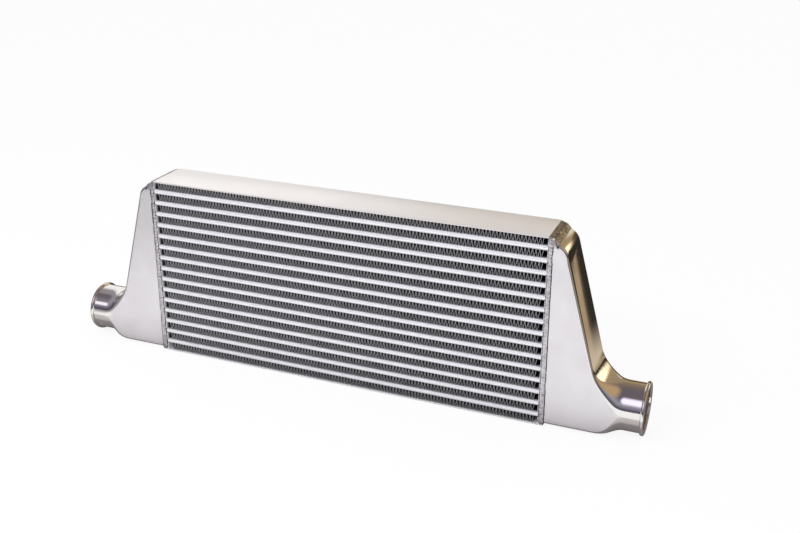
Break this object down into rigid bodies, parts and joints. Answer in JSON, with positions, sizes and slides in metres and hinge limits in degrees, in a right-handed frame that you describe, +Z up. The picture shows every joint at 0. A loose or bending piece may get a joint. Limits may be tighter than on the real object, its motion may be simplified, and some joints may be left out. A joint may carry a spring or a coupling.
{
  "type": "intercooler",
  "caption": "Front-mount bar-and-plate intercooler with slanted cast end tanks and round lipped hose outlets at the bottom of each side.",
  "frame": {"origin": "under the middle of the core, on the surface it stands on", "axes": "+X along the core towards the right-hand tank, +Y from the front face to the back face, +Z up"},
  "size_m": [0.888, 0.0762, 0.28],
  "materials": {
    "core_bars": "bright brazed aluminium",
    "fin_sheet": "thin folded aluminium sheet",
    "turbulator_sheet": "thin folded aluminium sheet",
    "tank_casting": "satin faces, polished outer wall and outlet",
    "weld": "rippled weld bead"
  },
  "bodies": {
    "root": {"top_side_plate": "core_bars", "bottom_side_plate": "core_bars", "cooling_fin_01": "fin_sheet", "cooling_fin_02": "fin_sheet", "cooling_fin_03": "fin_sheet", "cooling_fin_04": "fin_sheet", "cooling_fin_05": "fin_sheet", "cooling_fin_06": "fin_sheet", "cooling_fin_07": "fin_sheet", "cooling_fin_08": "fin_sheet", "cooling_fin_09": "fin_sheet", "cooling_fin_10": "fin_sheet", "cooling_fin_11": "fin_sheet", "cooling_fin_12": "fin_sheet", "cooling_fin_13": "fin_sheet", "cooling_fin_14": "fin_sheet", "cooling_fin_15": "fin_sheet", "cooling_fin_16": "fin_sheet", "charge_tube_01": "core_bars", "charge_tube_02": "core_bars", "charge_tube_03": "core_bars", "charge_tube_04": "core_bars", "charge_tube_05": "core_bars", "charge_tube_06": "core_bars", "charge_tube_07": "core_bars", "charge_tube_08": "core_bars", "charge_tube_09": "core_bars", "charge_tube_10": "core_bars", "charge_tube_11": "core_bars", "charge_tube_12": "core_bars", "charge_tube_13": "core_bars", "charge_tube_14": "core_bars", "charge_tube_15": "core_bars", "turbulator_01": "turbulator_sheet", "turbulator_02": "turbulator_sheet", "turbulator_03": "turbulator_sheet", "turbulator_04": "turbulator_sheet", "turbulator_05": "turbulator_sheet", "turbulator_06": "turbulator_sheet", "turbulator_07": "turbulator_sheet", "turbulator_08": "turbulator_sheet", "turbulator_09": "turbulator_sheet", "turbulator_10": "turbulator_sheet", "turbulator_11": "turbulator_sheet", "turbulator_12": "turbulator_sheet", "turbulator_13": "turbulator_sheet", "turbulator_14": "turbulator_sheet", "turbulator_15": "turbulator_sheet", "left_tank": "tank_casting", "right_tank": "tank_casting", "left_tank_weld": "weld", "right_tank_weld": "weld"}
  },
  "joints": []
}
